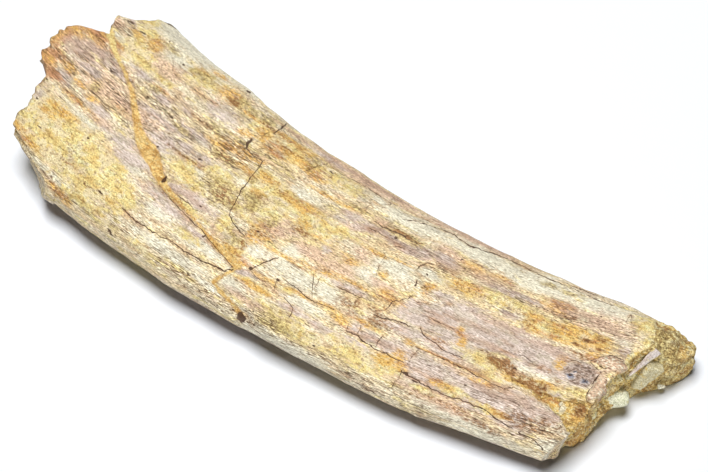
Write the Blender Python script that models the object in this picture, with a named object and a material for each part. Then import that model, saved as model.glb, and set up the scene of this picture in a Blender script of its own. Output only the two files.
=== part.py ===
"""A length of fossil dinosaur rib, broken at both ends, lying on its broad side.

The shaft is flat and gently bowed, a rounded strap in section that tapers from the ragged end
at -X to the broken end at +X. Its convex edge faces -Y. Sandy rock is cemented to the bone,
fills an oblique vein across the top and stands proud of the bone at the +X end.

Places on the rib are given in millimetres as (along, across): along follows the bowed centre
line towards +X, and across is the distance from that line towards the concave edge at +Y.
"""

import math

import bmesh
import bpy
import numpy as np
from mathutils import Vector, noise

MILLIMETRE = 0.001

# Driving dimensions, in millimetres
BOW_RADIUS = 393.75          # bend of the centre line, seen from above
MID_HALF_WIDTH = 27.4        # half the width at the middle of the shaft
MIDDLE_SHIFT = -0.5          # the section's middle lies nearer the convex edge
WIDTH_TAPER = 0.038          # loss of half width for each millimetre towards +X
MID_HALF_THICKNESS = 10.4
THICKNESS_TAPER = 0.012
SECTION_POWER = 2.5          # 2 is an ellipse, larger is boxier
WORN_BASE = 0.9              # depth of the flat that the rib lies on
SHAFT_START = -86.0          # nominal ends, before the breaks are cut into them
SHAFT_END = 86.0

# Fineness of the surface
RING_STEP = 2.4
GIRTH_POINTS = 54
UNDERSIDE_FINENESS = 0.5     # spacing on the underside is coarser than on the top
CAP_RINGS = 4
CORE_HALF_THICKNESS = 1.2    # of the strip left inside the innermost ring of a break

# Ragged break at the -X end, as (across, along): its upper edge, and its foot under it
LEFT_BREAK = [
    (-32.0, -65.0), (-29.5, -66.5), (-27.6, -69.4), (-26.6, -75.0), (-25.6, -82.5),
    (-23.6, -84.2), (-18.5, -83.4), (-14.5, -85.0), (-11.5, -86.4), (-8.4, -86.4),
    (-6.6, -91.5), (-4.6, -95.2), (-1.8, -93.6), (1.2, -95.7), (4.2, -95.7),
    (7.0, -94.7), (9.2, -93.2), (10.4, -88.8), (12.2, -85.4), (14.4, -87.4),
    (18.4, -89.8), (21.0, -85.0), (24.0, -82.4), (27.0, -81.6), (30.0, -79.0),
]
LEFT_FOOT = [
    (-32.0, -66.0), (-29.0, -71.5), (-27.0, -72.0), (-22.0, -80.0), (-12.0, -84.0),
    (-6.0, -87.0), (2.0, -91.0), (9.0, -88.0), (14.0, -83.0), (20.0, -84.0), (30.0, -76.0),
]

# Break at the +X end: bone stops at the upper edge, cemented rock runs on down to the foot
RIGHT_BREAK = [
    (-25.0, 78.6), (-21.5, 79.0), (-18.6, 81.0), (-14.0, 82.6), (-8.0, 83.4),
    (-4.0, 84.4), (-1.7, 85.4), (2.6, 86.8), (6.4, 87.2), (8.0, 88.6),
    (10.0, 91.8), (13.0, 92.2), (17.0, 91.2), (24.0, 90.0),
]
RIGHT_FOOT = [
    (-25.0, 74.5), (-22.0, 75.5), (-20.5, 77.2), (-17.7, 78.6), (-15.8, 79.6),
    (-14.2, 82.4), (-8.4, 83.6), (-4.4, 84.8), (-0.7, 86.2), (1.7, 88.4),
    (4.3, 89.8), (6.8, 92.6), (8.2, 96.6), (11.0, 99.8), (14.0, 102.0),
    (17.0, 103.4), (20.0, 102.6), (22.5, 99.0), (24.5, 96.0),
]
BREAK_REACH = 26.0           # length of shaft over which the rings bend to follow a break

# Oblique vein of rock across the top, as (along, across), and its branch to the convex edge
VEIN = [
    (-86.0, 11.0), (-76.0, 8.0), (-69.0, 5.5), (-62.0, 0.5), (-55.0, -5.5),
    (-46.0, -10.0), (-38.0, -12.8), (-26.0, -15.8), (-14.0, -18.0),
]
VEIN_BRANCH = [(-13.0, -18.5), (-15.0, -22.5), (-14.0, -25.5), (-6.0, -27.0)]
VEIN_HALF_WIDTH = 1.6
VEIN_DEPTH = 0.7

# Swellings and pits on the top, as (along, across, half length, half width, height)
LUMPS = [
    (-46.5, 25.5, 4.5, 2.6, 1.1),        # knob on the concave edge
    (-46.0, 20.5, 4.0, 2.2, 0.6),
    (-42.4, -10.0, 1.6, 1.3, -1.6),      # pit where the vein thins
    (-5.0, -27.0, 2.4, 2.2, -1.6),       # notch in the convex edge
    (-12.5, -7.5, 3.0, 2.5, 0.7),
    (-31.8, 13.0, 1.8, 1.6, -1.0),
    (-73.0, -16.0, 10.0, 7.0, 0.5),      # crust near the ragged end
    (-74.0, 18.0, 9.0, 5.0, 0.5),
    (20.0, 13.4, 6.5, 1.3, 0.6),
    (55.0, 8.0, 22.0, 2.8, 0.6),         # band of crust towards the +X end
    (57.0, -10.5, 9.0, 2.2, 0.5),
    (76.5, -4.0, 4.6, 3.6, 0.9),         # rounded nodule in the bone
    (70.0, -2.0, 2.4, 1.8, -0.5),
    (83.0, 1.0, 3.0, 3.6, 0.8),
    (82.4, -7.0, 1.8, 3.2, 0.9),
    (60.0, 1.0, 20.0, 4.0, -0.6),        # worn hollow along the middle
    (10.0, -11.0, 12.0, 3.0, -0.4),
    (-60.0, -3.0, 24.0, 6.0, -0.4),
    (94.0, 25.0, 7.0, 5.0, -1.8),        # concave edge worn away beside the rock
]

# Ledges on the top, as (points, drop): the surface falls away to the right of the line,
# looking from its first point to its last
LEDGES = [
    ([(62.0, -11.4), (71.0, -13.2), (76.8, -15.6), (80.0, -18.6), (86.0, -19.4)], -2.3),
    ([(70.0, -10.6), (76.0, -11.4), (80.5, -10.6), (86.0, -9.8)], 2.0),
    ([(-33.0, -22.6), (-24.0, -22.2), (-14.0, -20.8)], 0.6),
    ([(-8.0, 20.6), (10.0, 20.4), (30.0, 20.8), (56.0, 21.4)], -0.7),
    ([(24.0, -11.6), (34.0, -9.6), (44.0, -11.8), (52.0, -11.8)], 0.5),
]

LEDGE_SLOPE = 1.4            # half the width over which a ledge falls

# Bosses and hollows on the +X break, as (across, height, radius across, radius up, relief)
BREAK_BOSSES = [
    (-3.2, 7.5, 2.6, 2.4, 2.0),          # rounded pebble
    (6.0, 9.0, 2.6, 5.0, 1.4),           # pale block
    (14.0, 11.0, 6.0, 4.0, 1.4),         # swelling of sandy rock
    (8.6, 15.0, 2.0, 2.4, -1.6),         # hollow behind the block
    (0.5, 13.0, 2.6, 2.6, 1.0),
    (-10.0, 8.0, 4.0, 4.0, 0.8),
    (19.0, 5.0, 3.0, 3.0, -1.0),
]

BONE_COLOUR = (0.69, 0.53, 0.32, 1.0)


def smooth_step(low, high, value):
    """Rise from 0 at low to 1 at high, with level ends."""
    share = min(max((value - low) / (high - low), 0.0), 1.0)
    return share * share * (3.0 - 2.0 * share)


def table_value(table, position):
    """Height of a list of (position, height) at a position."""
    places = [place for place, _ in table]
    heights = [height for _, height in table]
    return float(np.interp(position, places, heights))


def half_width(along):
    return MID_HALF_WIDTH - WIDTH_TAPER * along


def half_thickness(along):
    return MID_HALF_THICKNESS - THICKNESS_TAPER * along


def bowed(along, across, height):
    """Point in space of a place on the rib, in millimetres."""
    angle = along / BOW_RADIUS
    radius = BOW_RADIUS - across
    return Vector((radius * math.sin(angle), BOW_RADIUS - radius * math.cos(angle), height))


def nearest_on_path(path, along, across):
    """Distance to a path, the side it lies on, and how far past its ends the place is."""
    best = (1e9, 0.0, 0.0)
    last = len(path) - 2
    for index, (start, end) in enumerate(zip(path, path[1:])):
        run, rise = end[0] - start[0], end[1] - start[1]
        length = math.hypot(run, rise)
        share = ((along - start[0]) * run + (across - start[1]) * rise) / length ** 2
        inside = min(max(share, 0.0), 1.0)
        away_x = along - start[0] - inside * run
        away_y = across - start[1] - inside * rise
        distance = math.hypot(away_x, away_y)
        past = 0.0
        if index == 0 and share < 0.0:
            past = -share * length
        if index == last and share > 1.0:
            past = (share - 1.0) * length
        if distance < best[0]:
            side = run * away_y - rise * away_x
            best = (distance, side, past)
    return best


def vein_relief(along, across):
    """Shallow channel of the vein, with the rock in it standing up a little in the middle."""
    distance = min(nearest_on_path(path, along, across)[0] for path in (VEIN, VEIN_BRANCH))
    share = distance / VEIN_HALF_WIDTH
    return -VEIN_DEPTH * math.exp(-share * share)


def ledge_relief(along, across):
    """Drop beyond each ledge, healing out with distance from it."""
    total = 0.0
    for path, drop in LEDGES:
        distance, side, past = nearest_on_path(path, along, across)
        fade = math.exp(-distance / 6.0) * (1.0 - smooth_step(0.0, 5.0, past))
        step = smooth_step(-LEDGE_SLOPE, LEDGE_SLOPE, math.copysign(distance, -side * drop))
        total -= abs(drop) * fade * step
    return total


def lump_relief(along, across):
    total = 0.0
    for centre_along, centre_across, length, width, height in LUMPS:
        reach = ((along - centre_along) / length) ** 2 + ((across - centre_across) / width) ** 2
        total += height * math.exp(-reach)
    return total


def grain_relief(along, across, height):
    """Slow swells and long ridges that follow the grain of the bone."""
    swell = noise.noise(Vector((along / 30.0, across / 13.0, height / 13.0)))
    ridge = noise.noise(Vector((along / 22.0 + 9.0, across / 3.4, height / 3.4)))
    chip = noise.noise(Vector((along / 6.0 + 31.0, across / 4.0, height / 4.0)))
    return 0.75 * swell + 0.42 * ridge + 0.3 * chip


def end_surface_left(across, rise):
    """Place along the rib of the -X break, for a share of the thickness from the base."""
    upper = table_value(LEFT_BREAK, across)
    foot = table_value(LEFT_FOOT, across)
    splinter = 2.4 * noise.noise(Vector((across / 4.2, rise * 4.0, 4.0)))
    return foot + (upper - foot) * smooth_step(0.1, 0.8, rise) + splinter * (1.0 - rise)


def end_surface_right(across, rise):
    """Place along the rib of the +X break, with its pebbles and sandy swellings."""
    upper = table_value(RIGHT_BREAK, across)
    foot = table_value(RIGHT_FOOT, across)
    steepness = 1.7 + 2.6 * smooth_step(7.0, 12.0, across)
    place = foot + (upper - foot) * rise ** steepness
    height = rise * 2.0 * half_thickness(SHAFT_END)
    for centre_across, centre_up, radius_across, radius_up, relief in BREAK_BOSSES:
        reach = ((across - centre_across) / radius_across) ** 2
        reach += ((height - centre_up) / radius_up) ** 2
        place += relief * math.exp(-reach) * smooth_step(1.0, 0.8, rise)
    rough = noise.noise(Vector((across / 2.4, height / 2.4, 17.0)))
    return place + 0.8 * rough * smooth_step(1.0, 0.7, rise)


def unit_girth():
    """Points round a section of half width and half thickness 1, evenly spaced on the rib."""
    turns = np.linspace(0.0, 2.0 * math.pi, 2881)
    power = 2.0 / SECTION_POWER
    flat = np.sign(np.cos(turns)) * np.abs(np.cos(turns)) ** power
    high = np.sign(np.sin(turns)) * np.abs(np.sin(turns)) ** power
    steps = np.hypot(np.diff(flat) * MID_HALF_WIDTH, np.diff(high) * MID_HALF_THICKNESS)
    steps *= np.where(high[1:] < -0.35, UNDERSIDE_FINENESS, 1.0)
    walked = np.concatenate(([0.0], np.cumsum(steps)))
    wanted = np.arange(GIRTH_POINTS) * walked[-1] / GIRTH_POINTS
    return list(zip(np.interp(wanted, walked, flat), np.interp(wanted, walked, high)))


def section_point(along, flat, high, inset):
    """Across, height and share of the thickness of a girth point, moved in by an inset."""
    across = flat * (half_width(along) - inset) + MIDDLE_SHIFT
    height = half_thickness(along) + high * (half_thickness(along) - inset)
    rise = height / (2.0 * half_thickness(along))
    return across, max(height - WORN_BASE, 0.0), rise


def follow_breaks(station, across, rise):
    """Bend a station near either end so that the last ring lies in the break."""
    left_share = smooth_step(SHAFT_START + BREAK_REACH, SHAFT_START, station)
    right_share = smooth_step(SHAFT_END - BREAK_REACH, SHAFT_END, station)
    left_move = (end_surface_left(across, rise) - SHAFT_START) * left_share
    right_move = (end_surface_right(across, rise) - SHAFT_END) * right_share
    return station + left_move + right_move


def skin_relief(station, flat, high):
    """Relief of the shaft's surface at a girth point, as moves across and up."""
    across, height, rise = section_point(station, flat, high, 0.0)
    along = follow_breaks(station, across, rise)
    relief = grain_relief(along, across, height) * smooth_step(0.0, 0.22, rise)
    surface = vein_relief(along, across) + ledge_relief(along, across)
    relief += smooth_step(0.55, 0.85, rise) * surface
    relief += smooth_step(0.4, 0.7, rise) * lump_relief(along, across)
    out_across = math.copysign(abs(flat) ** (SECTION_POWER - 1.0), flat) / half_width(station)
    out_up = math.copysign(abs(high) ** (SECTION_POWER - 1.0), high) / half_thickness(station)
    size = math.hypot(out_across, out_up)
    return relief * out_across / size, relief * out_up / size


def skin_point(station, flat, high):
    """Point on the outside of the shaft, with its relief along the surface's normal."""
    across, height, rise = section_point(station, flat, high, 0.0)
    move_across, move_up = skin_relief(station, flat, high)
    along = follow_breaks(station, across, rise)
    return bowed(along, across + move_across, max(height + move_up, 0.0))


def cap_point(station, flat, high, share, end_surface):
    """Point inside a break, a share of the way in from its rim, on the break's surface."""
    inset = share * (half_thickness(station) - CORE_HALF_THICKNESS)
    across, height, rise = section_point(station, flat, high, inset)
    move_across, move_up = skin_relief(station, flat, high)
    across += move_across * (1.0 - share)
    height += move_up * (1.0 - share)
    return bowed(end_surface(across, rise), across, max(height, 0.0))


def add_ring(mesh, points):
    return [mesh.verts.new(point * MILLIMETRE) for point in points]


def join_rings(mesh, first, second):
    """Faces between two rings, facing out when the second ring lies towards +X."""
    count = len(first)
    for index in range(count):
        after = (index + 1) % count
        mesh.faces.new((first[index], first[after], second[after], second[index]))


def close_strip(mesh, ring):
    """Close the innermost ring of a break by joining its upper points to its lower ones."""
    edges = [mesh.edges.get((ring[i], ring[(i + 1) % len(ring)])) for i in range(len(ring))]
    bmesh.ops.triangle_fill(mesh, use_beauty=True, use_dissolve=False, edges=edges)


def add_cap(mesh, outer, girth, station, end_surface, facing_right):
    """Close an end with rings that step inwards over the break."""
    ring = outer
    for index in range(1, CAP_RINGS + 1):
        share = index / CAP_RINGS
        points = [cap_point(station, flat, high, share, end_surface) for flat, high in girth]
        inner = add_ring(mesh, points)
        if facing_right:
            join_rings(mesh, ring, inner)
        else:
            join_rings(mesh, inner, ring)
        ring = inner
    close_strip(mesh, ring)


def build_rib():
    """Loft the shaft from ring to ring, then close both breaks."""
    mesh = bmesh.new()
    girth = unit_girth()
    ring_count = round((SHAFT_END - SHAFT_START) / RING_STEP) + 1
    stations = np.linspace(SHAFT_START, SHAFT_END, ring_count)
    rings = []
    for station in stations:
        points = [skin_point(float(station), flat, high) for flat, high in girth]
        rings.append(add_ring(mesh, points))
    for first, second in zip(rings, rings[1:]):
        join_rings(mesh, first, second)
    add_cap(mesh, rings[0], girth, SHAFT_START, end_surface_left, False)
    add_cap(mesh, rings[-1], girth, SHAFT_END, end_surface_right, True)
    bmesh.ops.recalc_face_normals(mesh, faces=mesh.faces)
    return mesh


def centre_on_base(mesh):
    """Move the rib so that the origin is at the middle of its box, on the table."""
    corners = np.array([vertex.co for vertex in mesh.verts])
    low, high = corners.min(axis=0), corners.max(axis=0)
    shift = Vector((-(low[0] + high[0]) / 2.0, -(low[1] + high[1]) / 2.0, -low[2]))
    bmesh.ops.translate(mesh, verts=mesh.verts, vec=shift)


def bone_material():
    material = bpy.data.materials.new("petrified_bone")
    material.use_nodes = True
    shader = material.node_tree.nodes["Principled BSDF"]
    shader.inputs["Base Color"].default_value = BONE_COLOUR
    shader.inputs["Roughness"].default_value = 0.8
    shader.inputs["Metallic"].default_value = 0.0
    return material


for item in list(bpy.data.objects):
    bpy.data.objects.remove(item)

rib_mesh = build_rib()
centre_on_base(rib_mesh)
rib_data = bpy.data.meshes.new("rib")
rib_mesh.to_mesh(rib_data)
rib_mesh.free()
rib = bpy.data.objects.new("rib", rib_data)
bpy.context.scene.collection.objects.link(rib)
rib_data.materials.append(bone_material())
rib_data.shade_smooth()
rib_data.set_sharp_from_angle(angle=math.radians(40.0))
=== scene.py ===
import bpy
import math
import numpy as np
from mathutils import Matrix, Vector, noise


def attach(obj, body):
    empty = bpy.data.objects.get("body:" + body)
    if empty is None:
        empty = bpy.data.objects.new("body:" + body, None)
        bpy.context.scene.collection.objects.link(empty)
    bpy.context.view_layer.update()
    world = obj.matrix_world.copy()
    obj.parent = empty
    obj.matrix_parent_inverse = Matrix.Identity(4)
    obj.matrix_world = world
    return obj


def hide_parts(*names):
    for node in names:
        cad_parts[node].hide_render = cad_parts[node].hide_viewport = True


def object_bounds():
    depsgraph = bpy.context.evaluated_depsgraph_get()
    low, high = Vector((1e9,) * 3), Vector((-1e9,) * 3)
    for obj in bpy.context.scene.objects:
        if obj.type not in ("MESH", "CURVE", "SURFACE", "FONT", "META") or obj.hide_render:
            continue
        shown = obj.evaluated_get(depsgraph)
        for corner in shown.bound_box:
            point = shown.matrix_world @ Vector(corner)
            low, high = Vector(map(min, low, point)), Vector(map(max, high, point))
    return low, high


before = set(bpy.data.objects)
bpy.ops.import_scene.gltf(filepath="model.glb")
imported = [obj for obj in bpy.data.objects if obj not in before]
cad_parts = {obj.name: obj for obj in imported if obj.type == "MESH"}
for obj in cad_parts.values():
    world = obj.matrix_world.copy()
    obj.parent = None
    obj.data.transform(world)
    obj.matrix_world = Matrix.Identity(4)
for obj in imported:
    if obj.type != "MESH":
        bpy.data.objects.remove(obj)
cad_box = [list(corner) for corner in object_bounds()]

# ---------------------------------------------------------------------------------------------
# The studio. The rib lies on a plain white table, seen from above its broken end. A large soft
# box hangs nearly straight over it, two weaker ones light the sides of the rib, and white walls
# fill in the rest.

CAMERA_AIM = Vector((-0.0001, 0.0107, 0.0))
CAMERA_DISTANCE = 0.7408
CAMERA_TURN = math.radians(33.434)
CAMERA_HEIGHT = math.radians(60.0)
CAMERA_LENS = 140.0
CAMERA_FILM_WIDTH = 36.0
CAMERA_NEAREST = 0.01

camera_back = Vector((
    math.sin(CAMERA_TURN) * math.cos(CAMERA_HEIGHT),
    -math.cos(CAMERA_TURN) * math.cos(CAMERA_HEIGHT),
    math.sin(CAMERA_HEIGHT),
))
bpy.ops.object.camera_add(
    location=CAMERA_AIM + camera_back * CAMERA_DISTANCE,
    rotation=(-camera_back).to_track_quat("-Z", "Y").to_euler(),
)
camera = bpy.context.object
camera.name = "camera"
camera.data.lens = CAMERA_LENS
camera.data.sensor_width = CAMERA_FILM_WIDTH
camera.data.clip_start = CAMERA_NEAREST
bpy.context.scene.camera = camera

TABLE_SIZE = 6.0
TABLE_WHITE = (0.89, 0.92, 0.965, 1.0)
bpy.ops.mesh.primitive_plane_add(size=TABLE_SIZE, location=(0.0, 0.0, 0.0))
table = bpy.context.object
table.name = "table"
table_paint = bpy.data.materials.new("table_white")
table_paint.use_nodes = True
table_shader = table_paint.node_tree.nodes["Principled BSDF"]
table_shader.inputs["Base Color"].default_value = TABLE_WHITE
table_shader.inputs["Roughness"].default_value = 0.9
table_shader.inputs["Specular IOR Level"].default_value = 0.1
table.data.materials.append(table_paint)

# The two fill boxes light the rib alone, so that the shadow on the table stays deep.
filled_side = bpy.data.collections.new("filled_side")
# Each soft box faces the middle of the rib: its name, place, size, watts and what it lights.
SOFT_BOXES = [
    ("top_box", Vector((-0.11, 0.01, 1.295)), 0.54, 19.9, None),
    ("near_fill", Vector((0.46, -0.56, 0.38)), 0.5, 5.1, filled_side),
    ("far_fill", Vector((-0.10, 0.70, 0.60)), 0.5, 2.6, filled_side),
]
for name, place, size, watts, lit in SOFT_BOXES:
    bpy.ops.object.light_add(
        type="AREA", location=place, rotation=(-place).to_track_quat("-Z", "Y").to_euler()
    )
    box = bpy.context.object
    box.name = name
    box.data.size = size
    box.data.energy = watts
    box.light_linking.receiver_collection = lit

WALL_LIGHT = 0.01
walls = bpy.data.worlds.new("white_walls")
walls.use_nodes = True
wall_shader = walls.node_tree.nodes["Background"]
wall_shader.inputs["Color"].default_value = (1.0, 1.0, 1.0, 1.0)
wall_shader.inputs["Strength"].default_value = WALL_LIGHT
bpy.context.scene.world = walls
bpy.context.scene.view_settings.view_transform = "Standard"

# ---------------------------------------------------------------------------------------------
# The shaft of the rib. Petrified bone with a fine lengthwise grain, stained mauve, rust and
# olive, with sandy ochre rock left on it in crusts and in a vein. It is one stone with its rock,
# broken at both ends, so it is worked from the solid of the whole rib.

# Places on the rib are (along, across) in millimetres: along the bowed centre line towards +X,
# and across it towards the concave edge at +Y.
BOW_RADIUS = 393.75
BOW_CENTRE = (-1.619, BOW_RADIUS - 4.449)


def rib_places(points):
    """Along, across and height in millimetres, for points in metres."""
    sideways = points[:, 0] * 1000.0 - BOW_CENTRE[0]
    inward = BOW_CENTRE[1] - points[:, 1] * 1000.0
    along = BOW_RADIUS * np.arctan2(sideways, inward)
    across = BOW_RADIUS - np.hypot(sideways, inward)
    return along, across, points[:, 2] * 1000.0


def smooth(low, high, value):
    """Rise from 0 at low to 1 at high, with level ends."""
    share = np.clip((value - low) / (high - low), 0.0, 1.0)
    return share * share * (3.0 - 2.0 * share)


def streak_noise(along, across, height, length, width, seed):
    """Smooth noise from about -1 to 1, in streaks of a length and width in millimetres."""
    scaled = np.column_stack((along / length + seed, across / width, height / width - seed))
    return np.array([noise.noise(Vector(place)) for place in scaled])


def path_distance(path, along, across):
    """Distance to a path, in millimetres, and the share of the path walked to get there."""
    nearest = np.full(along.shape, np.inf)
    walked = np.zeros(along.shape)
    lengths = [math.dist(start, end) for start, end in zip(path, path[1:])]
    before = 0.0
    for start, end, length in zip(path, path[1:], lengths):
        run, rise = (end[0] - start[0]) / length, (end[1] - start[1]) / length
        step = np.clip((along - start[0]) * run + (across - start[1]) * rise, 0.0, length)
        away = np.hypot(along - start[0] - step * run, across - start[1] - step * rise)
        closer = away < nearest
        nearest = np.where(closer, away, nearest)
        walked = np.where(closer, (before + step) / sum(lengths), walked)
        before += length
    return nearest, walked


def inside_outline(outline, along, across):
    """Distance in from a closed outline, in millimetres, and negative outside it."""
    distance, _ = path_distance(outline + outline[:1], along, across)
    within = np.zeros(along.shape, bool)
    for start, end in zip(outline, outline[1:] + outline[:1]):
        crosses = (start[1] > across) != (end[1] > across)
        rise = (end[1] - start[1]) or 1.0
        meets = start[0] + (across - start[1]) / rise * (end[0] - start[0])
        within ^= crosses & (along < meets)
    return np.where(within, distance, -distance)


FAR_OUTSIDE = -3.0


def inside_ovals(ovals, along, across):
    """1 in the middle of some ovals, 0 at their edges and negative outside them."""
    share = np.full(along.shape, FAR_OUTSIDE)
    for middle_along, middle_across, half_length, half_width in ovals:
        ahead = (along - middle_along) / half_length
        aside = (across - middle_across) / half_width
        share = np.maximum(share, 1.0 - np.hypot(ahead, aside))
    return share


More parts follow.
